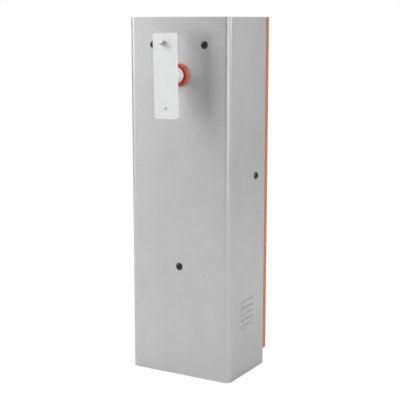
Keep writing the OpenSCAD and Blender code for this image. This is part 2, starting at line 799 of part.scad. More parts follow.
module run_capacitor() color("silver") translate([in_x - 57, panel_y + 2 + 18, motor_z + 4]) {
    cylinder(r = can_r, h = can_h);
    translate([0, 0, can_h]) cylinder(r = 6, h = 5);
    difference() {
        block(-20, 20, -18, 0, 26, 40);
        translate([0, 0, 25]) cylinder(r = can_r - 0.1, h = 16);
    }
}

module terminal_panel() color("lightsteelblue") {
    block(bay_x[0], bay_x[1], bay_y, bay_y + 2, tray_t, bay_z);
    block(bay_x[0], bay_x[1], bay_y - 18, bay_y, tray_t, tray_t + 2);
    difference() {
        block(bay_x[0] + 5, bay_x[1] - 5, bay_y + 2, block_at, rail_z - rail[0] / 2, rail_z + rail[0] / 2);
        block(bay_x[0] + 4, bay_x[1] - 4, bay_y + 3, block_at + 1,
            rail_z - rail[0] / 2 + 5, rail_z + rail[0] / 2 - 5);
        for (s = [-1, 1]) block(bay_x[0] + 4, bay_x[1] - 4, bay_y + 1, block_at - 1,
            rail_z + s * 16 - 2.5, rail_z + s * 16 + 2.5);
    }
}

module terminal_blocks() color("#d8d0b8") for (i = [0 : block_n - 1])
    translate([bay_x[0] + 14 + i * block_pitch, 0, 0]) difference() {
        block(0, block_pitch - 0.2, block_at, bay_y + 34, rail_z - 22, rail_z + 22);
        for (s = [-1, 1]) translate([4, 0, rail_z + s * 14]) rod_along_y(2.6, bay_y + 26, bay_y + 35);
    }

module switch_body() color("#e8e8e4") difference() {
    block(switch_x - 9, switch_x + 9, block_at, rocker_y, rail_z - 24, rail_z + 24);
    block(switch_x - 6.5, switch_x + 6.5, rocker_y - 9, rocker_y + 1, rail_z - 13, rail_z + 13);
}

module switch_rocker() color("#303030") translate([0, rocker_y - 3, rail_z]) {
    rod_along_x(5.5, switch_x - 6, switch_x + 6);
    rotate([-20, 0, 0]) block(switch_x - 5, switch_x + 5, 2, 9, -3, 3);
}

// ---------- door ----------
// Plan of the door pan from y0 outwards, at a distance inside its outer face
module door_plan(inset, y0) {
    half = side_x - inset;
    bend = side_x - door_r;
    translate([-half, y0]) square([2 * half, door_y1 - door_r - y0]);
    translate([-bend, y0]) square([2 * bend, door_y1 - inset - y0]);
    for (s = [-1, 1]) translate([s * bend, door_y1 - door_r]) circle(r = door_r - inset);
}

module door_panel() color("#d47a5c") difference() {
    translate([0, 0, door_z]) linear_extrude(cab_h - door_z) door_plan(0, door_y0);
    translate([0, 0, door_z + door_t]) linear_extrude(cab_h - door_z - 2 * door_t)
        door_plan(door_t, door_y0 - 1);
    translate([lock_x, 0, lock_z]) rod_along_y(lock_r + 0.1, door_y0, door_y1 + 1);
}

module door_gasket() color("#202020") plate_y(back_y + 0.3, door_y1 - door_t) difference() {
    round_rect(-side_x + 8, side_x - 8, door_z + 6, cab_h - 8, 3);
    round_rect(-side_x + 14, side_x - 14, door_z + 12, cab_h - 14, 2);
}

module hinge_leaves() color("silver") for (z = hinge_at) difference() {
    union() {
        block(-side_x - leaf_t, -side_x, hinge_y - 34, hinge_y - 0.8, z - hinge_len / 2, z - 0.3);
        block(hinge_x, -side_x - leaf_t + 0.5, hinge_y - barrel_r, hinge_y - 3.2,
            z - hinge_len / 2, z - 0.3);
        translate([hinge_x, hinge_y, z - hinge_len / 2]) cylinder(r = barrel_r, h = hinge_len / 2 - 0.3);
    }
    translate([hinge_x, hinge_y, z - hinge_len / 2 - 1]) cylinder(r = hinge_pin_r + fit, h = hinge_len);
}

module door_hinge_leaves() color("silver") for (z = hinge_at) difference() {
    union() {
        block(-side_x - leaf_t, -side_x, hinge_y + 1.5, hinge_y + 14, z + 0.3, z + hinge_len / 2);
        block(hinge_x, -side_x - leaf_t + 0.5, hinge_y + 3.2, hinge_y + barrel_r,
            z + 0.3, z + hinge_len / 2);
        translate([hinge_x, hinge_y, z + 0.3]) cylinder(r = barrel_r, h = hinge_len / 2 - 0.3);
    }
    translate([hinge_x, hinge_y, z - 1]) cylinder(r = hinge_pin_r + fit, h = hinge_len);
}

module hinge_pins() color("silver") for (z = hinge_at) translate([hinge_x, hinge_y, z - hinge_len / 2]) {
    cylinder(r = hinge_pin_r, h = hinge_len);
    translate([0, 0, -2]) cylinder(r = hinge_pin_r + 1.5, h = 2);
}

module lock_housing() color("silver") translate([lock_x, 0, lock_z]) difference() {
    union() {
        rod_along_y(lock_r, back_in - 1, door_y1);
        rod_along_y(lock_r + lock_lip[0], door_y1, door_y1 + lock_lip[1]);
        rod_along_y(lock_r + lock_lip[0], door_y1 - door_t - 5, door_y1 - door_t);
    }
    rod_along_y(barrel_bore + fit, back_in - 2, door_y1 + 3);
}

module lock_cam() color("#b0a070") translate([lock_x, 0, lock_z]) {
    difference() {
        rod_along_y(barrel_bore, back_in - 4, door_y1 + 2);
        block(-1, 1, door_y1 - 4, door_y1 + 3, -4.5, 4.5);
    }
    plate_y(back_in - 4 - cam_t, back_in - 4) {
        circle(r = cam_r);
        translate([-7, 0]) square([14, cam_l]);
    }
}

cabinet_shell();
base_tray();
top_cap();
cable_grommet();
face_screws();
carrier_spacers();
front_carrier();
rear_carrier();
tie_columns();
shaft_bearings();
ring_collar();
stop_brackets();
stop_bolts();
stop_bumpers();
spring_bracket();
balance_spring();
gearbox_case();
gearbox_cover();
gearbox_screws();
motor_housing();
motor_stator();
motor_end_cap();
position_sensor();
electronics_plate();
control_box();
control_lid();
circuit_board();
board_relays();
board_terminals();
transformer();
run_capacitor();
terminal_panel();
terminal_blocks();
switch_body();
hinge_leaves();
hinge_pins();
main_shaft();
boom_hub();
boom_plate();
boom_bolt();
boom_nut();
rocker_lever();
lever_pins();
position_disc();
drive_rod();
crank_arm();
output_gear();
idler_gears();
motor_rotor();
hand_wheel();
balance_rod();
spring_cup();
adjusting_nuts();
door_panel();
door_gasket();
door_hinge_leaves();
lock_housing();
lock_cam();
switch_rocker();
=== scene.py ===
import json
import math

import bpy
import bmesh
from mathutils import Matrix, Vector


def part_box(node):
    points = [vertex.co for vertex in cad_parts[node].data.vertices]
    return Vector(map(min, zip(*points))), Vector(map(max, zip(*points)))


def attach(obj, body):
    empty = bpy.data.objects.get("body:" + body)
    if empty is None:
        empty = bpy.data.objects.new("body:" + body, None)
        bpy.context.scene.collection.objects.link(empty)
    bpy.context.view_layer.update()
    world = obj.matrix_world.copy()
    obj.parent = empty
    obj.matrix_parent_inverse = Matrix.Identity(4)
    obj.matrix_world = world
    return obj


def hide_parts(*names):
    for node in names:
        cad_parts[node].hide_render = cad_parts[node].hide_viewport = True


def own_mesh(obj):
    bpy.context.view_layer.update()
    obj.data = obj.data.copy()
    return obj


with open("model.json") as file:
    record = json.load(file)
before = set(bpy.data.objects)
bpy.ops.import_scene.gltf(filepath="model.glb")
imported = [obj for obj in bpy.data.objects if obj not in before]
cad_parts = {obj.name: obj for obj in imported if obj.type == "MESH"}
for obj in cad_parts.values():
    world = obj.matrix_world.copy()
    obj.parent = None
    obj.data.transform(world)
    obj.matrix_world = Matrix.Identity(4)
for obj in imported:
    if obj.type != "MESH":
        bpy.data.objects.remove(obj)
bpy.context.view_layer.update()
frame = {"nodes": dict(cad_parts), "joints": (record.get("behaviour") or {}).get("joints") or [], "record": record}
NODES = frame["nodes"]
SLOTS = {s["node"]: s["material_slot"] for s in frame["record"]["subparts"]}
MM = 0.001

# Places taken from the frame, in metres
shell_lo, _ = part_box("cabinet_shell")
collar_lo, collar_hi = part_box("ring_collar")
shaft_z = (collar_lo.z + collar_hi.z) / 2
face_y = shell_lo.y

# Camera: lens and sensor in millimetres, angles in degrees, place in metres
LENS, SENSOR = 91.6, 36.0
CAMERA_TURN, CAMERA_DROP = 30.143, 9.925
CAMERA_X, CAMERA_FROM_FACE, CAMERA_Z = 1.4384, 2.3619, 0.9865
NEAR, FAR = 0.05, 50

# Light: sizes in metres; each softbox has a name, turn, rise and watts
SOFTBOX_SIZE, SOFTBOX_DISTANCE, AIM_HEIGHT = 1.4, 4.0, 0.6
SOFTBOXES = (("key_low", -48, 5, 22), ("key_side", -60, 22, 53), ("key_high", -48, 45, 42),
             ("top", 0, 88, 52), ("front", 35, 5, 27), ("edge", 85, 22, 75), ("back", 140, 5, 8),
             ("rear", 206, 14, 85))
SKY_SEEN, SKY_LIGHT = 1.0, 0.06
FLOOR_REACH, FLOOR_GAP, FLOOR_GLOW = 12.0, 0.0005, 1.05

# Surfaces
COAT_ROUGHNESS = 0.12
CLEAR_ALPHA = 0.22
SHARP_ANGLE = 38
STUD_MARK = 9 * MM  # a mark's radius, in metres

WIRE = 3 * MM  # the spring wire's radius, in metres

# Sizes in millimetres; a thread has a radius and a pitch, and the M12 stands a little proud of its rod
AXIS = shaft_z / MM
M6, M8, M10, M12 = (3, 1.0), (4, 1.25), (5, 1.5), (6.35, 1.75)
M8_FLATS = 13
CHAMFER, CHAMFER_SLOPE = 0.48, 0.55  # a hexagon's chamfer: its circle as a share of the flats, its slope
THREAD_DEPTH, THREAD_STEPS = 0.6, 6  # a share of the pitch, and rings to a pitch
STUDS = ((36, 237), (168.7, 391))  # behind the arm face, and below the shaft
SPRING_TURNS = 20
CRANK_DROP = 265
HINGE_INSET = 130
BLOCKS, FIRST_BLUE, FIRST_GREEN = 8, 5, 7
DIAGONALS = (45, 135, 225, 315)


def stud_places():
    """Where the two studs are welded inside the right side: distance along Y, and height, in metres."""
    return tuple((face_y + behind * MM, shaft_z - below * MM) for behind, below in STUDS)


def right_face():
    """The outer face of the right side, without the louvres, in millimetres."""
    return -shell_lo.x / MM


def joint(name):
    return next(j for j in frame["joints"] if j["name"] == name)


def add_object(name, data):
    obj = bpy.data.objects.new(name, data)
    bpy.context.scene.collection.objects.link(obj)
    return obj


def direction(turn, rise):
    """Away from the cabinet: an angle round from the arm face, towards +X, and a rise."""
    side, up = math.radians(turn), math.radians(rise)
    return Vector((math.sin(side) * math.cos(up), -math.cos(side) * math.cos(up), math.sin(up)))


def look_back(obj, away):
    obj.rotation_mode = "QUATERNION"
    obj.rotation_quaternion = away.to_track_quat("Z", "Y")


def shader_of(material):
    return material.node_tree.nodes["Principled BSDF"]


def new_material(name):
    material = bpy.data.materials.new(name)
    material.use_nodes = True
    return material, material.node_tree, shader_of(material)


# ---------- camera ----------
def make_camera():
    data = bpy.data.cameras.new("camera")
    data.lens = LENS
    data.sensor_width = SENSOR
    camera = add_object("camera", data)
    camera.location = (CAMERA_X, face_y - CAMERA_FROM_FACE, CAMERA_Z)
    look_back(camera, direction(CAMERA_TURN, CAMERA_DROP))
    data.clip_start, data.clip_end = NEAR, FAR
    bpy.context.scene.camera = camera


# ---------- light and stage ----------
def softbox(name, turn, rise, power):
    """A square softbox, seen from the cabinet at a turn and a rise."""
    away = direction(turn, rise)
    data = bpy.data.lights.new(name, "AREA")
    data.shape = "SQUARE"
    data.size = SOFTBOX_SIZE
    data.energy = power
    light = add_object(name, data)
    light.location = Vector((0, 0, AIM_HEIGHT)) + away * SOFTBOX_DISTANCE
    look_back(light, away)


def make_lights():
    """Three soft lights on the left, one above, a dim front, one on the right, and two behind."""
    for name, turn, rise, power in SOFTBOXES:
        softbox(name, turn, rise, power)


def split_by_ray(tree, lit, seen, surface_in):
    """Lights the scene with one shader and shows the camera another."""
    mix = tree.nodes.new("ShaderNodeMixShader")
    path = tree.nodes.new("ShaderNodeLightPath")
    tree.links.new(path.outputs["Is Camera Ray"], mix.inputs["Fac"])
    tree.links.new(lit.outputs[0], mix.inputs[1])
    tree.links.new(seen.outputs[0], mix.inputs[2])
    tree.links.new(mix.outputs[0], surface_in)


def make_world():
    world = bpy.data.worlds.new("studio")
    bpy.context.scene.world = world
    world.use_nodes = True
    tree = world.node_tree
    tree.nodes.clear()
    out = tree.nodes.new("ShaderNodeOutputWorld")
    seen, lit = tree.nodes.new("ShaderNodeBackground"), tree.nodes.new("ShaderNodeBackground")
    for node, strength in ((seen, SKY_SEEN), (lit, SKY_LIGHT)):
        node.inputs["Color"].default_value = (1, 1, 1, 1)
        node.inputs["Strength"].default_value = strength
    split_by_ray(tree, lit, seen, out.inputs["Surface"])


def make_floor():
    mesh = bpy.data.meshes.new("floor")
    reach = FLOOR_REACH
    mesh.from_pydata([(-reach, -reach, 0), (reach, -reach, 0), (reach, reach, 0), (-reach, reach, 0)],
                     [], [(0, 1, 2, 3)])
    floor = add_object("floor", mesh)
    floor.location.z = -FLOOR_GAP
    material, tree, shader = new_material("pale_floor")
    shader.inputs["Base Color"].default_value = (0.8, 0.8, 0.8, 1)
    shader.inputs["Roughness"].default_value = 0.9
    glow = tree.nodes.new("ShaderNodeEmission")
    glow.inputs["Strength"].default_value = FLOOR_GLOW
    split_by_ray(tree, shader, glow, tree.nodes["Material Output"].inputs["Surface"])
    mesh.materials.append(material)


# ---------- materials ----------
def place_of(tree, stretch=(1, 1, 1)):
    """The point in the object's own metres, stretched by a factor along each axis."""
    place = tree.nodes.new("ShaderNodeTexCoord")
    mapping = tree.nodes.new("ShaderNodeMapping")
    mapping.inputs["Scale"].default_value = stretch
    tree.links.new(place.outputs["Object"], mapping.inputs["Vector"])
    return mapping.outputs["Vector"]


def noise(tree, stretch, scale, detail=4.0):
    texture = tree.nodes.new("ShaderNodeTexNoise")
    texture.inputs["Scale"].default_value = scale
    texture.inputs["Detail"].default_value = detail
    tree.links.new(place_of(tree, stretch), texture.inputs["Vector"])
    return texture.outputs["Fac"]


def flakes(tree, scale):
    """A different random value on each small cell, as on zinc."""
    texture = tree.nodes.new("ShaderNodeTexVoronoi")
    texture.inputs["Scale"].default_value = scale
    tree.links.new(place_of(tree), texture.inputs["Vector"])
    return texture.outputs["Color"]


def ramp(tree, source, low, high, start=0.3, end=0.7):
    """Turns a factor into a value between low and high."""
    node = tree.nodes.new("ShaderNodeMapRange")
    node.inputs["From Min"].default_value = start
    node.inputs["From Max"].default_value = end
    node.inputs["To Min"].default_value = low
    node.inputs["To Max"].default_value = high
    tree.links.new(source, node.inputs["Value"])
    return node.outputs["Result"]


def add(tree, first, second):
    node = tree.nodes.new("ShaderNodeMath")
    node.operation = "ADD"
    tree.links.new(first, node.inputs[0])
    tree.links.new(second, node.inputs[1])
    return node.outputs[0]


def blend_colour(tree, factor, first, second):
    node = tree.nodes.new("ShaderNodeMix")
    node.data_type = "RGBA"
    node.inputs["A"].default_value = (*first, 1)
    node.inputs["B"].default_value = (*second, 1)
    tree.links.new(factor, node.inputs["Factor"])
    return node.outputs["Result"]


def bump(tree, shader, height, strength, distance):
    node = tree.nodes.new("ShaderNodeBump")
    node.inputs["Strength"].default_value = strength
    node.inputs["Distance"].default_value = distance
    tree.links.new(height, node.inputs["Height"])
    tree.links.new(node.outputs["Normal"], shader.inputs["Normal"])


def spot(tree, centre, radius):
    """1 near a point, fading to 0 at the radius."""
    node = tree.nodes.new("ShaderNodeVectorMath")
    node.operation = "DISTANCE"
    node.inputs[1].default_value = centre
    tree.links.new(place_of(tree), node.inputs[0])
    return ramp(tree, node.outputs["Value"], 1, 0, radius * 0.45, radius)


def surface(name, colour, metal=0.0, rough=(0.4, 0.5), tint=0.08, stretch=(1, 1, 1), scale=60.0,
            grain=0.1, grain_depth=0.0002, coat=0.0, cells=0.0, sheen=0.0, cloud_scale=9.0):
    """A surface with uneven colour and roughness and fine relief, from noise; cells makes it flaky."""
    material, tree, shader = new_material(name)
    fine = noise(tree, stretch, scale)
    if cells:
        split = tree.nodes.new("ShaderNodeSeparateColor")
        tree.links.new(flakes(tree, cells), split.inputs[0])
        shade = ramp(tree, split.outputs[0], 0, 1, 0, 1)
        rough_from = add(tree, ramp(tree, split.outputs[1], 0, rough[1] - rough[0], 0, 1),
                         ramp(tree, fine, rough[0], rough[0] + 0.06))
    else:
        cloud = noise(tree, (1, 1, 1), cloud_scale, 3.0)
        shade = ramp(tree, cloud, 0, 1)
        rough_from = add(tree, ramp(tree, fine, rough[0], rough[1]), ramp(tree, cloud, -0.03, 0.03))
    darker = tuple(c * (1 - tint) for c in colour)
    lighter = tuple(min(1.0, c * (1 + tint)) for c in colour)
    tree.links.new(blend_colour(tree, shade, darker, lighter), shader.inputs["Base Color"])
    tree.links.new(rough_from, shader.inputs["Roughness"])
    shader.inputs["Metallic"].default_value = metal
    shader.inputs["Coat Weight"].default_value = coat
    shader.inputs["Coat Roughness"].default_value = COAT_ROUGHNESS
    shader.inputs["Sheen Weight"].default_value = sheen
    bump(tree, shader, fine, grain, grain_depth)
    return material


def make_shell_steel():
    """Satin steel: a fine mottle, slow clouds, and a round mark where each stud is welded on inside."""
    material, tree, shader = new_material("shell_steel")
    mottle = noise(tree, (1, 1, 1), 130.0, 2.0)
    cloud = noise(tree, (1, 1, 0.7), 16.0, 3.0)
    shade = add(tree, ramp(tree, mottle, 0, 0.45), ramp(tree, cloud, 0, 0.55))
    base = blend_colour(tree, shade, (0.55, 0.55, 0.556), (0.59, 0.59, 0.594))
    marks = add(tree, *(spot(tree, (-shell_lo.x, y, z), STUD_MARK) for y, z in stud_places()))
    marked = tree.nodes.new("ShaderNodeMix")
    marked.data_type = "RGBA"
    marked.inputs["B"].default_value = (0.45, 0.45, 0.455, 1)
    tree.links.new(ramp(tree, marks, 0, 0.7, 0, 1), marked.inputs["Factor"])
    tree.links.new(base, marked.inputs["A"])
    tree.links.new(marked.outputs["Result"], shader.inputs["Base Color"])
    rough = add(tree, ramp(tree, mottle, 0.34, 0.40), ramp(tree, cloud, -0.01, 0.015))
    tree.links.new(rough, shader.inputs["Roughness"])
    shader.inputs["Metallic"].default_value = 0.55
    bump(tree, shader, mottle, 0.015, 0.0002)
    return material


def clear(name, colour):
    material = surface(name, colour, rough=(0.04, 0.07), tint=0.01, grain=0.01)
    shader = shader_of(material)
    shader.inputs["Transmission Weight"].default_value = 1.0
    shader.inputs["Alpha"].default_value = CLEAR_ALPHA
    return material


# Each finish: colour, then what differs from the plain surface
FINISHES = {
    "galvanised": dict(colour=(0.58, 0.60, 0.61), metal=0.9, rough=(0.3, 0.5), tint=0.1, cells=160.0,
                       grain=0.05),
    "rubber_black": dict(colour=(0.03, 0.03, 0.03), rough=(0.6, 0.8), tint=0.2, scale=500.0, grain=0.3,
                         sheen=0.1),
    "black_oxide": dict(colour=(0.010, 0.009, 0.012), rough=(0.24, 0.34), tint=0.2, scale=500.0),
    "carrier_paint": dict(colour=(0.22, 0.25, 0.28), rough=(0.38, 0.5), tint=0.06, scale=700.0, grain=0.3),
    "housing_iron": dict(colour=(0.13, 0.24, 0.36), rough=(0.42, 0.6), tint=0.12, scale=260.0, grain=0.5,
                         grain_depth=0.0004),
    "red_plastic": dict(colour=(0.56, 0.115, 0.06), rough=(0.34, 0.45), tint=0.06, scale=300.0, grain=0.15),
    "spring_steel": dict(colour=(0.05, 0.05, 0.055), metal=0.4, rough=(0.3, 0.42), tint=0.15, scale=300.0),
    "case_aluminium": dict(colour=(0.62, 0.63, 0.64), metal=0.85, rough=(0.42, 0.58), tint=0.06,
                           scale=380.0, grain=0.5, grain_depth=0.0003),
    "motor_paint": dict(colour=(0.06, 0.08, 0.10), rough=(0.35, 0.5), tint=0.1, scale=450.0, grain=0.3),
    "winding": dict(colour=(0.58, 0.30, 0.08), metal=0.3, rough=(0.28, 0.42), tint=0.15, scale=500.0,
                    coat=0.4),
    "black_plastic": dict(colour=(0.025, 0.025, 0.03), rough=(0.42, 0.6), tint=0.1, scale=800.0, grain=0.2),
    "box_plastic": dict(colour=(0.72, 0.72, 0.70), rough=(0.42, 0.55), tint=0.02, scale=900.0, grain=0.2),
    "board_green": dict(colour=(0.02, 0.17, 0.06), rough=(0.25, 0.4), tint=0.2, scale=350.0, coat=0.3,
                        cloud_scale=60.0),
    "terminal_plastic": dict(colour=(0.64, 0.59, 0.44), rough=(0.42, 0.55), tint=0.03, scale=600.0),
    "turned_steel": dict(colour=(0.60, 0.60, 0.61), metal=1.0, rough=(0.2, 0.36), tint=0.05,
                         stretch=(0.2, 8, 0.2), scale=120.0, grain=0.12),
    "white_paint": dict(colour=(0.82, 0.822, 0.828), rough=(0.30, 0.4), tint=0.012, scale=320.0,
                        grain=0.06, coat=0.35, cloud_scale=30.0),
    "yellow_zinc": dict(colour=(0.62, 0.56, 0.40), metal=0.9, rough=(0.25, 0.4), tint=0.12, scale=200.0,
                        cloud_scale=150.0),
    "bright_zinc": dict(colour=(0.66, 0.67, 0.68), metal=0.95, rough=(0.18, 0.32), tint=0.06, scale=250.0),
    "lever_iron": dict(colour=(0.24, 0.26, 0.28), metal=0.7, rough=(0.4, 0.58), tint=0.12, scale=320.0,
                       grain=0.5, grain_depth=0.0003),
    "gear_steel": dict(colour=(0.50, 0.48, 0.45), metal=1.0, rough=(0.28, 0.36), tint=0.05, scale=300.0),
    "wheel_red": dict(colour=(0.50, 0.06, 0.04), rough=(0.35, 0.5), tint=0.06, scale=400.0),
    "door_orange": dict(colour=(0.55, 0.185, 0.07), rough=(0.4, 0.52), tint=0.04, scale=900.0,
                        grain=0.35, grain_depth=0.0002, coat=0.1),
    # darker crimson of the collar's recess: partly its own colour, partly painted shade cast by the hub
    "recess_shade_red": dict(colour=(0.50, 0.06, 0.055), rough=(0.4, 0.5), tint=0.06, scale=400.0, grain=0.2),
    "blue_plastic": dict(colour=(0.04, 0.16, 0.5), rough=(0.4, 0.52), tint=0.05, scale=600.0),
    "green_plastic": dict(colour=(0.08, 0.36, 0.09), rough=(0.4, 0.52), tint=0.05, scale=600.0),
    "lamp_red": dict(colour=(0.7, 0.04, 0.03), rough=(0.1, 0.2), tint=0.03, scale=300.0, coat=0.5),
    "brass": dict(colour=(0.68, 0.49, 0.2), metal=1.0, rough=(0.2, 0.34), tint=0.08, scale=300.0),
}


def make_materials():
    """One material for each slot in the record, and five for small parts."""
    made = {name: surface(name, **look) for name, look in FINISHES.items()}
    made["shell_steel"] = make_shell_steel()
    made["clear_plastic"] = clear("clear_plastic", (0.86, 0.91, 0.94))
    return made


def smooth(mesh, angle):
    """Shades a mesh smooth, but for edges sharper than the angle."""
    mesh.polygons.foreach_set("use_smooth", [True] * len(mesh.polygons))
    mesh.set_sharp_from_angle(angle=math.radians(angle))


def dress_nodes(materials):
    """Gives every CAD node its slot's material; the last terminal blocks are blue and green."""
    for name, obj in NODES.items():
        obj.data.materials.clear()
        obj.data.materials.append(materials[SLOTS[name]])
    blocks = NODES["terminal_blocks"].data
    low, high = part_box("terminal_blocks")
    for colour in ("blue_plastic", "green_plastic"):
        blocks.materials.append(materials[colour])
    for face in blocks.polygons:
        along = (face.center.x - low.x) / (high.x - low.x)
        face.material_index = 2 if along > FIRST_GREEN / BLOCKS else 1 if along > FIRST_BLUE / BLOCKS else 0


# ---------- shapes ----------
DIRECTIONS = {"+x": (1, 0, 0), "-x": (-1, 0, 0), "+y": (0, 1, 0), "-y": (0, -1, 0), "+z": (0, 0, 1),
              "-z": (0, 0, -1)}


def at(x, y, z, towards="+z", turn=0):
    """Puts a part's own origin at a point in millimetres, and its own Z along a direction."""
    aim = Vector(DIRECTIONS[towards]).to_track_quat("Z", "Y").to_matrix().to_4x4()
    return Matrix.Translation((x, y, z)) @ aim @ Matrix.Rotation(math.radians(turn), 4, "Z")


def polar(radius, degrees):
    return radius * math.cos(math.radians(degrees)), radius * math.sin(math.radians(degrees))


def circle(radius, z, sides=36):
    return [(radius * math.cos(2 * math.pi * j / sides), radius * math.sin(2 * math.pi * j / sides), z)
            for j in range(sides)]


def hexagon(flats, z, slope=0.0, sides=36):
    """A six-sided ring; its corners stand off the plane z by the slope, as under a chamfer."""
    ring = []
    for j in range(sides):
        angle = 360 * j / sides
        reach = flats / 2 / math.cos(math.radians(angle % 60 - 30))
        ring.append((*polar(reach, angle), z + slope * (reach - flats * CHAMFER)))
    return ring


def thread(size, low, high, sides=20):
    """Rings of a screw thread: one ridge that climbs a pitch each turn, and runs out at both ends."""
    radius, pitch = size
    steps = round((high - low) / pitch * THREAD_STEPS)
    rings = []
    for i in range(steps + 1):
        z = low + (high - low) * i / steps
        grown = min(1.0, (z - low) / pitch, (high - z) / pitch)
        ring = []
        for j in range(sides):
            ridge = 1 - abs(2 * ((z / pitch - j / sides) % 1) - 1)
            reach = radius - THREAD_DEPTH * pitch * (1 - ridge * grown)
            ring.append((reach * math.cos(2 * math.pi * j / sides),
                         reach * math.sin(2 * math.pi * j / sides), z))
        rings.append(ring)
    return rings


def rounded(x0, x1, z0, z1, radius, steps=6):
    """The outline of a rectangle with round corners."""
    points = []
    for cx, cz, start in ((x1 - radius, z1 - radius, 0), (x0 + radius, z1 - radius, 90),
                          (x0 + radius, z0 + radius, 180), (x1 - radius, z0 + radius, 270)):
        for i in range(steps + 1):
            angle = math.radians(start + 90 * i / steps)
            points.append((cx + radius * math.cos(angle), cz + radius * math.sin(angle)))
    return points


def level(outline, y):
    """An outline in X and Z, as a ring at one Y."""
    return [(x, y, z) for x, z in outline]


def corners(low, high, inset):
    """Four places (x, z), an inset in from the corners of a box."""
    return [(x, z) for x in (low.x + inset, high.x - inset) for z in (low.z + inset, high.z - inset)]


class Piece:
    """One visible piece, made of closed parts with sizes in millimetres."""

    def __init__(self, name):
        self.name = name
        self.mesh = bmesh.new()

    def loft(self, rings, place=Matrix(), closed=False):
        """Joins rings of equally many points, and caps the two ends or closes the loop."""
        rows = [[self.mesh.verts.new((place @ Vector(p)) * MM) for p in ring] for ring in rings]
        pairs = list(zip(rows, rows[1:])) + ([(rows[-1], rows[0])] if closed else [])
        for first, second in pairs:
            for j in range(len(first)):
                k = (j + 1) % len(first)
                self.mesh.faces.new((first[j], first[k], second[k], second[j]))
        if not closed:
            self.mesh.faces.new(rows[0])
            self.mesh.faces.new(rows[-1])

    def turned(self, profile, place, sides=36, closed=False):
        """A turned part from (radius, height) points; closed joins the last point to the first."""
        self.loft([circle(r, z, sides) for r, z in profile], place, closed)

    def box(self, low, high, edge=0.5):
        """A box with rounded edges."""
        made = bmesh.ops.create_cube(self.mesh, size=1.0)["verts"]
        low, high = Vector(low), Vector(high)
        size, middle = high - low, (low + high) / 2
        for vert in made:
            vert.co = Vector(m + c * s for m, c, s in zip(middle, vert.co, size)) * MM
        edges = list({e for vert in made for e in vert.link_edges})
        bmesh.ops.bevel(self.mesh, geom=edges, offset=edge * MM, segments=2, profile=0.5,
                        affect="EDGES", clamp_overlap=True)

    def bolt(self, flats, head, place, washer=0.0):
        """A hexagon head with a chamfered top, on a washer if one is given; Z points out of the head."""
        if washer:
            self.turned([(flats * 0.95, -0.2), (flats * 0.95, washer - 0.2), (flats * 0.9, washer)], place)
        self.loft([hexagon(flats, washer - 0.1), hexagon(flats, washer + head, -CHAMFER_SLOPE),
                   circle(flats * CHAMFER, washer + head)], place)

    def nut(self, flats, low, high, bore, place):
        """A hexagon nut with both ends chamfered and a bore."""
        rim = flats * CHAMFER
        self.loft([circle(rim, low), hexagon(flats, low, CHAMFER_SLOPE),
                   hexagon(flats, high, -CHAMFER_SLOPE), circle(rim, high), circle(bore + 0.5, high),
                   circle(bore, high - 0.5), circle(bore, low + 0.5), circle(bore + 0.5, low)],
                  place, closed=True)

    def washer(self, outer, bore, low, high, place):
        soft = (high - low) * 0.25
        self.turned([(outer - soft, low), (outer, low + soft), (outer, high - soft), (outer - soft, high),
                     (bore, high), (bore, low)], place, closed=True)

    def pan_screw(self, radius, height, place):
        """A low domed head with a hexagon recess."""
        recess = radius * 0.8
        self.loft([circle(radius, -0.3), circle(radius, height * 0.3), circle(radius * 0.86, height * 0.75),
                   circle(radius * 0.6, height), hexagon(recess, height), hexagon(recess, height * 0.35)],
                  place)

    def slotted_screw(self, radius, height, place):
        """A flat head with a straight slot across it."""
        edge, slot = radius * 0.9, radius * 0.16
        self.turned([(radius, -0.3), (radius, height * 0.5), (edge, height * 0.55)], place)
        for side in (1, -1):
            half = [(slot + 0.001, -edge * 0.98), (slot + 0.001, edge * 0.98)]
            half += [polar(edge, a) for a in range(75, -90, -15)]
            self.loft([[(side * x, y, height * 0.5) for x, y in half],
                       [(side * x, y, height) for x, y in half]], place)

    def done(self, body, material, replaces=(), angle=SHARP_ANGLE):
        """Makes the object, dresses it and lets it ride on its body."""
        bmesh.ops.recalc_face_normals(self.mesh, faces=self.mesh.faces)
        mesh = bpy.data.meshes.new(self.name)
        self.mesh.to_mesh(mesh)
        self.mesh.free()
        smooth(mesh, angle)
        mesh.materials.append(materials[material])
        obj = add_object(self.name, mesh)
        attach(obj, body)
        if replaces:
            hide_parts(*replaces)


def span(node):
    """A node's lowest and highest corners, and its middle, in millimetres."""
    low, high = (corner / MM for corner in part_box(node))
    return low, high, (low + high) / 2


# ---------- balance spring ----------
def helix_mesh(name, turns, radius, wire, low, high, steps=24, sides=12):
    """A round wire wound along a helix, with flat closed ends."""
    mesh = bmesh.new()
    rings = []
    total = turns * steps
    for i in range(total + 1):
        angle = 2 * math.pi * i / steps
        height = low + (high - low) * i / total
        ring = []
        for j in range(sides):
            around = 2 * math.pi * j / sides
            reach = radius + wire * math.cos(around)
            ring.append(mesh.verts.new((reach * math.cos(angle), reach * math.sin(angle),
                                        height + wire * math.sin(around))))
        rings.append(ring)
    for a, b in zip(rings, rings[1:]):
        for j in range(sides):
            k = (j + 1) % sides
            mesh.faces.new((a[j], a[k], b[k], b[j]))
    mesh.faces.new(rings[0])
    mesh.faces.new(reversed(rings[-1]))
    bmesh.ops.recalc_face_normals(mesh, faces=mesh.faces)
    data = bpy.data.meshes.new(name)
    mesh.to_mesh(data)
    mesh.free()
    return data


def make_spring(materials):
    low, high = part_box("balance_spring")
    radius = (high.x - low.x) / 2 - WIRE
    middle = (low + high) / 2
    mesh = helix_mesh("spring_wire", SPRING_TURNS, radius, WIRE, low.z + WIRE, high.z - WIRE)
    mesh.transform(Matrix.Translation((middle.x, middle.y, 0)))
    smooth(mesh, 40)
    mesh.materials.append(materials["spring_steel"])
    spring = add_object("spring_wire", mesh)
    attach(spring, "cabinet")
    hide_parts("balance_spring")
    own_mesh(spring)


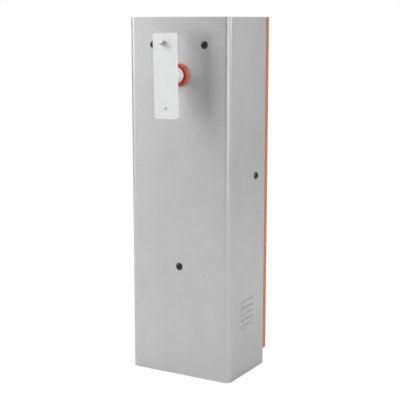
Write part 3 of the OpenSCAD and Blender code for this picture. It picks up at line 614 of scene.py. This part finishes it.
# ---------- boom fixings ----------
def make_boom_fixings():
    """The bolt of the boom, its washer and its nut, turned with the plate's lean."""
    bolt_low, bolt_high, bolt_mid = span("boom_bolt")
    nut_low, nut_high, _ = span("boom_nut")
    back = span("boom_plate")[1].y
    x, z = bolt_mid.x, bolt_mid.z
    lean = math.degrees(math.atan2(-x, z - AXIS))
    bolt = Piece("boom_bolt_threaded")
    bolt.bolt(M8_FLATS, bolt_high.y - back, at(x, back, z, "+y", lean))
    bolt.loft(thread(M8, 0, back - bolt_low.y + 1), at(x, back + 1, z, "-y"))
    bolt.done("boom_shaft", "yellow_zinc", ["boom_bolt"])
    nut = Piece("boom_nut_chamfered")
    front = at(x, nut_high.y, z, "-y", -lean)
    nut.washer(8, 4.2, 0, 1.6, front)
    nut.nut(M8_FLATS, 1.6, nut_high.y - nut_low.y, 3.6, front)
    nut.done("boom_shaft", "bright_zinc", ["boom_nut"])


def make_collar():
    """The ring round the shaft: an orange rim round a dished recess, coloured a darker crimson that is partly its
    own colour and partly painted shade from the hub.
    """
    _, high, middle = span("ring_collar")
    place = at(0, high.y, middle.z, "-y")
    rim = Piece("collar_rim")
    rim.turned([(31.5, 0), (31.5, 8.3), (31, 9.1), (30.6, 9.5), (30, 9.4), (29.4, 8.6), (27, 7), (22, 6),
                (16.2, 5.8), (16.2, 0)], place, 64, closed=True)
    rim.done("cabinet", "red_plastic", ["ring_collar"])
    # the recess gets a darker red than the rim: partly its own colour, partly painted shade from the hub
    dish = Piece("collar_dish")
    dish.turned([(29.5, 8.5), (29.2, 8.8), (26.8, 7.3), (22, 6.3), (16.4, 6.1), (16.4, 5.6), (22, 5.8),
                 (27, 6.8)], place, 64, closed=True)
    dish.done("cabinet", "recess_shade_red")


# ---------- carrier, bearings and stops ----------
def make_carrier_fixings():
    """The bolts of the bearings, columns and spring bracket, the grease nipples and the seals."""
    rear_face = span("rear_carrier")[1].y
    front_face = span("front_carrier")[1].y
    flange, reach = 8, 27
    bolts = Piece("bearing_bolts")
    for face in (front_face + flange, rear_face + flange):
        for side in (-1, 1):
            for up in (-1, 1):
                bolts.bolt(12, 4.6, at(side * reach, face, AXIS + up * reach, "+y", 10 * side), 1.2)
    for x, z in corners(*span("tie_columns")[:2], 8):
        bolts.bolt(M8_FLATS, 5.5, at(x, rear_face, z, "+y", 20), 1.6)
        bolts.bolt(M8_FLATS, 4.5, at(x, front_face - 5, z, "-y", 5), 1.2)
    bracket_low, _, bracket_mid = span("spring_bracket")
    for side in (-1, 1):
        place = at(bracket_mid.x + side * 16, front_face + 5, bracket_low.z + 22, "+y", 15)
        bolts.bolt(M8_FLATS, 5, place, 1.6)
    bolts.done("cabinet", "galvanised")

    nipples = Piece("grease_nipples")
    for y in (front_face + 13, rear_face + 13):
        nipples.loft([hexagon(7, -1), hexagon(7, 3.5, -0.5), circle(2, 3.6), circle(1.6, 5), circle(2.4, 6),
                      circle(2.4, 6.8), circle(1, 8)], at(0, y, AXIS + 25.8))
    nipples.done("cabinet", "brass")

    caps = Piece("bearing_seals")
    for y in (front_face + 19, span("shaft_bearings")[1].y):
        caps.turned([(24, -0.4), (24, 0.8), (23, 1.4), (17.5, 1.4), (16.4, 0.4), (16.4, -0.4)],
                    at(0, y, AXIS, "+y"), closed=True)
    caps.done("cabinet", "rubber_black")


def make_stop_screws():
    """The two adjustable stops: a threaded screw with a lock nut, square to the lever's end positions."""
    start, end = joint("boom_swing")["range_deg"]
    screws = Piece("stop_screws")
    lever_y = span("rocker_lever")[2].y
    rest, along, first = -45, 45, 26.3
    for angle, flip in ((rest, 180), (rest + (end - start), 0)):
        base = (Matrix.Translation((0, lever_y, AXIS))
                @ Matrix.Rotation(math.radians(-angle), 4, "Y") @ Matrix.Translation((along, 0, 0)))
        stand = base @ Matrix.Rotation(math.radians(flip), 4, "X")
        screws.loft(thread(M10, first, first + 34), stand)
        screws.nut(13.8, first + 8, first + 14, 4.6, stand)
        screws.bolt(10, 4, stand @ Matrix.Translation((0, 0, first + 33)))
    screws.done("cabinet", "galvanised", ["stop_bolts"])


# ---------- arm shaft, lever and rod ----------
def make_shaft_fittings():
    disc_face = span("position_disc")[1].y
    hub = Piece("disc_hub")
    hub.turned([(14.9, -0.2), (22, -0.2), (22, 2.6), (21, 3.4), (14.9, 3.4)],
               at(0, disc_face, AXIS, "+y"), closed=True)
    hub.pan_screw(2.2, 1.6, at(0, disc_face + 1.7, AXIS + 21.8))
    hub.done("boom_shaft", "turned_steel")
    key = Piece("lever_key")
    hub_end = span("rocker_lever")[1].y
    key.box((-4, hub_end - 6, AXIS + 11.5), (4, hub_end + 1.2, AXIS + 18), 0.4)
    key.done("boom_shaft", "bright_zinc")
    ring = Piece("shaft_retaining_ring")
    ring.washer(17.6, 14.6, 0, 1.5, at(0, hub_end + 1.4, AXIS, "+y"))
    ring.done("boom_shaft", "black_oxide")


def make_balance_rod_parts():
    nuts_low, nuts_high, middle = span("adjusting_nuts")
    nuts = Piece("balance_nuts")
    height = (nuts_high.z - nuts_low.z) / 2
    for i in range(2):
        nuts.nut(19, nuts_low.z + i * height + 0.15, nuts_low.z + (i + 1) * height - 0.15, 5.9,
                 at(middle.x, middle.y, 0, turn=12 * i))
    nuts.done("balance", "galvanised", ["adjusting_nuts"])
    rod_low = span("balance_rod")[0]
    screw = Piece("balance_rod_thread")
    screw.loft(thread(M12, rod_low.z - 0.2, rod_low.z + 130), at(middle.x, middle.y, 0))
    screw.done("balance", "turned_steel")


# ---------- gearbox and motor ----------
def make_gearbox_details():
    cover_low, cover_high, _ = span("gearbox_cover")
    face = cover_high.y
    crank_z = AXIS - CRANK_DROP
    idler_z = span("idler_gears")[2].z
    boss = Piece("gearbox_bosses")
    boss.turned([(22.5, -0.4), (27.5, -0.4), (26.8, 2.3), (26.2, 2.6), (23, 2.6), (22.5, 2.2)],
                at(0, face, crank_z, "+y"), closed=True)
    boss.turned([(12.5, -0.3), (12, 2.2), (11, 2.9), (7.5, 2.9), (7, 2.0)], at(0, face, idler_z, "+y"))
    for side in (-1, 1):
        across, edge = side * 43, side * 62
        boss.box((across - 15.5, face - 0.4, crank_z - 1.6), (across + 15.5, face + 2, crank_z + 1.6), 0.7)
        boss.box((edge - 1.5, face - 0.4, cover_low.z + 26), (edge + 1.5, face + 2, cover_high.z - 26), 0.7)
    boss.box((-1.6, face - 0.4, crank_z + 27), (1.6, face + 2, cover_high.z - 6), 0.7)
    boss.done("cabinet", "case_aluminium")
    plugs = Piece("oil_plugs")
    for x, z in ((38, cover_high.z - 22), (54, cover_low.z + 28)):
        plugs.turned([(9, -0.3), (9, 1), (8.4, 1.6)], at(x, face, z, "+y"))
        plugs.bolt(12, 4.5, at(x, face + 1.4, z, "+y", 8))
    plugs.done("cabinet", "brass")
    gasket = Piece("cover_gasket")
    low = Vector((cover_low.x - 0.5, 0, cover_low.z - 0.5))
    high = Vector((cover_high.x + 0.5, 0, cover_high.z + 0.5))
    outer = rounded(low.x, high.x, low.z, high.z, 20.5)
    inner = rounded(low.x + 4, high.x - 4, low.z + 4, high.z - 4, 16.5)
    y0, y1 = cover_low.y - 0.5, cover_low.y + 0.5
    gasket.loft([level(outer, y0), level(outer, y1), level(inner, y1), level(inner, y0)], closed=True)
    gasket.done("cabinet", "rubber_black")


def make_motor_details():
    low, high, _ = span("motor_housing")
    axis = (low.z + high.z) / 2
    radius, fins, bore = 40, 44, 39
    cap_circle, flange_circle = 33.5, 43
    sleeve = Piece("motor_fins")
    ring = []
    for i in range(fins):
        for part, tall in ((0.0, 0), (0.3, 1), (0.45, 1), (0.75, 0)):
            angle = 2 * math.pi * (i + part) / fins
            reach = radius + 0.15 + 2.3 * tall
            ring.append((reach * math.cos(angle), reach * math.sin(angle)))
    inner = [(x * bore / math.hypot(x, z), z * bore / math.hypot(x, z)) for x, z in ring]
    y0, y1 = low.y + 8, high.y - 5
    stand = at(0, 0, axis, "+y")
    sleeve.loft([[(x, z, y0) for x, z in ring], [(x, z, y1) for x, z in ring],
                 [(x, z, y1) for x, z in inner], [(x, z, y0) for x, z in inner]], stand, closed=True)
    sleeve.done("cabinet", "motor_paint", angle=25)

    top = axis + radius
    box = Piece("motor_terminal_box")
    box.box((-26, -12, top - 6), (26, 28, top + 14), 2)
    box.box((-28, -14, top + 13.6), (28, 30, top + 18), 1.2)
    box.turned([(8, -1), (8, 4), (7, 5), (7, 9), (5.4, 12), (3.4, 12), (3.4, 3)],
               at(26, 8, top + 6, "+x"))
    box.done("cabinet", "black_plastic")
    screws = Piece("motor_screws")
    for x in (-24, 24):
        for y in (-10, 26):
            screws.pan_screw(2.4, 1.6, at(x, y, top + 18))
    cap = span("motor_end_cap")[0].y + 10
    for angle in DIAGONALS:
        x, z = polar(cap_circle, angle)
        screws.pan_screw(3.6, 2.6, at(x, cap, axis + z, "+y"))
    for angle in DIAGONALS:
        x, z = polar(flange_circle, angle)
        screws.pan_screw(2.4, 1.6, at(x, low.y + 4, axis + z, "+y"))
    screws.done("cabinet", "bright_zinc")
    knob = Piece("wheel_knob")
    wheel_face = span("hand_wheel")[1].y
    knob.turned([(3, -4), (3, 0), (5, 1), (6, 5), (6, 10), (4.6, 13), (2, 14)],
                at(22, wheel_face - 1, axis, "+y"), 24)
    knob.done("rotor", "black_plastic")


# ---------- electronics ----------
def make_control_box_details():
    low, high, _ = span("control_box")
    lid_face = span("control_lid")[1].y
    screws = Piece("lid_screws")
    for x, z in corners(low, high, 7):
        screws.slotted_screw(4, 1.4, at(x, lid_face, z, "+y", 30 if x > 100 else -15))
    screws.done("cabinet", "box_plastic")
    glands = Piece("box_glands")
    for x in (low.x + 13, high.x - 13):
        place = at(x, (low.y + high.y) / 2, low.z, "-z")
        glands.loft([hexagon(17, -0.3), hexagon(17, 5, -0.5), circle(7.4, 5.2), circle(7.4, 8),
                     circle(6.2, 12), circle(4, 12.6), circle(3.6, 9)], place)
    glands.done("cabinet", "black_plastic")
    rim = Piece("lid_rim")
    outer = rounded(low.x - 0.8, high.x + 0.8, low.z - 0.8, high.z + 0.8, 4)
    top = rounded(low.x - 0.2, high.x + 0.2, low.z - 0.2, high.z + 0.2, 4)
    inner = rounded(low.x + 2.6, high.x - 2.6, low.z + 2.6, high.z - 2.6, 3)
    y0, y1 = high.y - 2.2, high.y + 0.6
    rim.loft([level(outer, y0), level(outer, y1 - 0.6), level(top, y1), level(inner, y1), level(inner, y0)],
             closed=True)
    rim.done("cabinet", "box_plastic")


def make_board_parts():
    """What stands on the circuit board, placed from its lower left corner."""
    low, high, _ = span("circuit_board")
    face = high.y
    left, foot = low.x, low.z
    fuse_z = foot + 165.5
    chips, legs = Piece("board_chips"), Piece("board_legs")

    def chip(x, z, wide, tall, thick, pins, pitch):
        chips.box((x - wide / 2, face + 0.5, z - tall / 2),
                  (x + wide / 2, face + 0.5 + thick, z + tall / 2), 0.25)
        for i in range(pins):
            step = (i - (pins - 1) / 2) * pitch
            for side in (-1, 1):
                edge = x + side * (wide / 2 + 0.6)
                legs.box((edge - 0.9, face - 0.1, z + step - 0.35),
                         (edge + 0.9, face + 1, z + step + 0.35), 0.12)

    chip(left + 46, foot + 82, 14, 14, 1.8, 9, 1.3)
    chip(left + 18, foot + 94, 7, 20, 4, 8, 2.5)
    chip(left + 70, foot + 104, 7, 12, 3, 4, 2.5)
    for row in range(5):
        for column in range(4):
            x, z = left + 32 + column * 5.5, foot + 56 + row * 3.2
            chips.box((x, face - 0.1, z), (x + 2.2, face + 0.9, z + 1.3), 0.15)
    chips.box((left + 6, face - 0.1, foot + 158), (left + 14, face + 9, foot + 174), 0.6)
    chips.done("cabinet", "black_plastic")

    cans, sleeves = Piece("board_can_tops"), Piece("board_can_sleeves")
    for x, z, r, tall in ((12, 62, 6, 15), (12, 76.5, 6, 15), (76, 62, 5, 12), (76, 76, 5, 12)):
        place = at(left + x, face, foot + z, "+y")
        sleeves.turned([(r, -0.1), (r, 0.8), (r - 0.5, 1.4), (r, 2), (r, tall - 0.6), (r - 0.8, tall)],
                       place, 24)
        cans.turned([(r - 1, tall - 0.5), (r - 1, tall + 0.15), (r - 1.4, tall + 0.3)], place, 24)
    sleeves.done("cabinet", "black_plastic")
    cans.done("cabinet", "bright_zinc")

    keys = Piece("board_keys")
    lamps = Piece("board_lamps")
    for i in range(4):
        x, z = left + 30 + i * 9, foot + 108
        legs.box((x - 3, face - 0.1, z - 3), (x + 3, face + 3.4, z + 3), 0.3)
        keys.turned([(1.8, 3), (1.8, 5), (1.4, 5.6)], at(x, face, z, "+y"), 20)
        place = at(left + 10 + i * 20 + 4, face, foot + 119, "+y")
        lamps.turned([(2, -0.1), (2, 1), (1.6, 1.2), (1.6, 3.2), (1.3, 4.2), (0.6, 4.8)], place, 20)
    keys.done("cabinet", "black_plastic")
    lamps.done("cabinet", "lamp_red")

    fuse = Piece("board_fuse_holder")
    for x in (left + 22, left + 42):
        fuse.box((x - 1.5, face - 0.1, foot + 162), (x + 1.5, face + 4, foot + 169), 0.4)
        fuse.turned([(2.7, 0), (2.9, 0.5), (2.9, 4.5), (2.7, 5)], at(x - 2.5, face + 5, fuse_z, "+x"), 20)
    fuse.done("cabinet", "brass")
    glass = Piece("board_fuse_glass")
    glass.turned([(2.4, 0), (2.4, 17)], at(left + 23.5, face + 5, fuse_z, "+x"), 20)
    glass.done("cabinet", "clear_plastic")

    trims = Piece("board_trimmers")
    for i in range(3):
        trims.box((left + 52 + i * 9, face - 0.1, foot + 162),
                  (left + 59 + i * 9, face + 5, foot + 169), 0.4)
        legs.slotted_screw(1.5, 0.8, at(left + 55.5 + i * 9, face + 5, fuse_z, "+y", 40 * i))
    trims.done("cabinet", "blue_plastic")

    strip_low, strip_high, _ = span("board_terminals")
    for z in (strip_low.z + 5, strip_high.z - 5):
        for i in range(8):
            x = strip_low.x + 5 + i * (strip_high.x - strip_low.x - 10) / 7
            legs.slotted_screw(1.8, 1.2, at(x, strip_high.y - 3.1, z, "+y", 25 * i))
    for x, z in corners(low, high, 6):
        legs.pan_screw(3, 2, at(x, face, z, "+y"))
    legs.done("cabinet", "bright_zinc")


def make_transformer():
    """A ring core under a layer of wire: each turn of the winding shows as a ridge."""
    low, high, middle = span("transformer")
    hole, outer, height, corner = 14, 40, high.z - low.z, 5
    section = []
    for r, z, start in ((outer - corner, high.z - corner, 0), (hole + corner, high.z - corner, 90),
                        (hole + corner, low.z + corner, 180), (outer - corner, low.z + corner, 270)):
        for i in range(5):
            angle = math.radians(start + 90 * i / 4)
            section.append((r, z, math.cos(angle), math.sin(angle)))
    turns, per_turn, ridge = 88, 4, 0.9
    rings = []
    for i in range(turns * per_turn):
        angle = 2 * math.pi * i / (turns * per_turn)
        grown = corner - ridge + ridge * abs(math.sin(math.pi * i / per_turn))
        rings.append([((r + c * grown) * math.cos(angle), (r + c * grown) * math.sin(angle), z + w * grown)
                      for r, z, c, w in section])
    winding = Piece("transformer_winding")
    winding.loft(rings, at(middle.x, middle.y, 0), closed=True)
    winding.done("cabinet", "winding", ["transformer"], angle=60)
    holder = Piece("transformer_bolt")
    place = at(middle.x, middle.y, high.z)
    holder.turned([(6, -2.5), (18, -0.2), (27, -0.2), (27, 1.6), (18, 1.6), (7, -0.6)], place)
    holder.nut(M8_FLATS, -0.6, 6, 3.8, place)
    holder.loft(thread(M8, -height, 10), place)
    holder.done("cabinet", "galvanised")
    pad = Piece("transformer_pad")
    pad.washer(30, 5, -2.2, 0.4, place)
    pad.done("cabinet", "rubber_black")


def make_capacitor_parts():
    low, high, middle = span("run_capacitor")
    tabs = Piece("capacitor_tabs")
    y = low.y + 18
    for side in (-1, 1):
        x = middle.x + side * 3.4
        tabs.box((x - 0.4, y - 3, high.z - 2), (x + 0.4, y + 3, high.z + 8), 0.15)
    tabs.done("cabinet", "bright_zinc")
    crimp = Piece("capacitor_crimp")
    crimp.turned([(17.3, 68.5), (18.3, 69.5), (18.3, 71.5), (17.4, 72.5), (15.5, 72.6), (15.2, 71.2)],
                 at(middle.x, y, low.z), closed=True)
    crimp.done("cabinet", "case_aluminium")


def make_terminal_details():
    low, high, _ = span("terminal_blocks")
    pitch = (high.x - low.x + 0.2) / BLOCKS
    rail_z = (low.z + high.z) / 2
    screws, tags = Piece("terminal_screws"), Piece("terminal_tags")
    for i in range(BLOCKS):
        x = low.x + 4 + i * pitch
        for side in (-1, 1):
            screws.slotted_screw(2.4, 1.4, at(x, high.y - 8, rail_z + side * 14, "+y", 30 * i + 20 * side))
        tags.box((x - 2.6, high.y - 0.3, rail_z - 4.5), (x + 2.6, high.y + 0.7, rail_z + 4.5), 0.25)
    switch_low, switch_high, switch_mid = span("switch_body")
    for z in (switch_low.z + 5, switch_high.z - 5):
        screws.slotted_screw(2.6, 0.8, at(switch_mid.x, switch_high.y, z, "+y", 35))
    screws.done("cabinet", "bright_zinc")
    tags.done("cabinet", "box_plastic")
    clips = Piece("rail_end_clips")
    for x in (low.x - 7, high.x + 1):
        clips.box((x, low.y - 1, rail_z - 19), (x + 6, low.y + 14, rail_z + 19), 1)
        clips.box((x + 1, low.y + 13, rail_z - 7), (x + 5, low.y + 18, rail_z + 7), 1)
    clips.done("cabinet", "black_plastic")


def make_sheet_fixings():
    """Screws of the electronics plate, the terminal panel and the sensor, and nuts on the studs."""
    screws = Piece("panel_screws")
    plate_low, plate_high, _ = span("electronics_plate")
    for x, z in ((plate_low.x + 4.5, plate_low.z + 8), (plate_low.x + 4.5, plate_high.z - 8)):
        screws.pan_screw(3.4, 2.2, at(x - 0.2, plate_low.y + 2, z, "+y"))
    panel_low, panel_high, _ = span("terminal_panel")
    for x in (panel_low.x + 9, panel_high.x - 9):
        for z in (panel_low.z + 16, panel_high.z - 9):
            screws.pan_screw(4, 2.4, at(x, panel_low.y + 20, z, "+y"))
    sensor_low, sensor_high, _ = span("position_sensor")
    for z in (sensor_low.z + 4, sensor_high.z - 4):
        screws.pan_screw(2, 1.4, at(sensor_high.x - 3, sensor_high.y, z, "+y"))
    inner = right_face() - 2
    for (y, z), start, end in zip(stud_places(), (0.1, 2.1), (5, 7)):
        screws.nut(10, start, end, 2.8, at(inner, y / MM, z / MM, "-x"))
    screws.done("cabinet", "bright_zinc")
    lamp = Piece("sensor_lamp")
    lamp.turned([(1.6, -0.2), (1.6, 0.6), (1.1, 1.2)],
                at(sensor_low.x + 6, sensor_high.y, sensor_high.z - 4, "+y"), 20)
    lamp.done("cabinet", "lamp_red")
    earth = Piece("earth_stud")
    foot = at(0, 60, span("base_tray")[0].z + 5)
    earth.loft(thread(M8, -0.5, 22), foot)
    earth.washer(9, 4.1, 0, 1.6, foot)
    earth.nut(M8_FLATS, 1.6, 8, 3.7, foot)
    earth.washer(9, 4.1, 8.2, 9.6, foot)
    earth.nut(M8_FLATS, 9.6, 15, 3.7, foot)
    earth.done("cabinet", "brass")


# ---------- door ----------
def hinge_heights():
    """The middle of each hinge, from the door's own edges."""
    low, high, _ = span("door_panel")
    return (low.z + HINGE_INSET, (low.z + high.z) / 2, high.z - HINGE_INSET)


def make_door_parts():
    """The stiffener and earth stud inside the door, and the screws of both leaves of each hinge."""
    low, high, _ = span("door_panel")
    skin = high.y - 1.8
    section = [(-34, 0.3), (-20, 0.3), (-14, -10), (14, -10), (20, 0.3), (34, 0.3),
               (34, -1.2), (21, -1.2), (15, -11.5), (-15, -11.5), (-21, -1.2), (-34, -1.2)]
    stiffener = Piece("door_stiffener")
    stiffener.loft([[(x, skin + y, z) for x, y in section] for z in (low.z + 26, high.z - 26)])
    stiffener.done("door", "door_orange")
    earth = Piece("door_earth_stud")
    place = at(low.x + 34, skin, low.z + 60, "-y")
    earth.loft(thread(M6, -0.5, 14), place)
    earth.washer(7, 3.1, 0, 1.2, place)
    earth.nut(10, 1.2, 6, 2.7, place)
    earth.done("door", "brass")
    door_screws, shell_screws = Piece("door_hinge_screws"), Piece("shell_hinge_screws")
    leaf_back = span("door_hinge_leaves")[1].y
    shell_leaf = span("hinge_leaves")[0].y
    side = -right_face() - 2
    for z in hinge_heights():
        for up in (9, 24):
            door_screws.pan_screw(3.2, 1.4, at(side, leaf_back - 4.5, z + up, "-x"))
            for y in (8, 22):
                shell_screws.pan_screw(3.2, 1.4, at(side, shell_leaf + y, z - up, "-x"))
    door_screws.done("door", "bright_zinc")
    shell_screws.done("cabinet", "bright_zinc")


make_camera()
make_world()
make_floor()
make_lights()
materials = make_materials()
dress_nodes(materials)
make_spring(materials)
make_boom_fixings()
make_collar()
make_carrier_fixings()
make_stop_screws()
make_shaft_fittings()
make_balance_rod_parts()
make_gearbox_details()
make_motor_details()
make_control_box_details()
make_board_parts()
make_transformer()
make_capacitor_parts()
make_terminal_details()
make_sheet_fixings()
make_door_parts()

bpy.context.scene.view_settings.view_transform = "Standard"
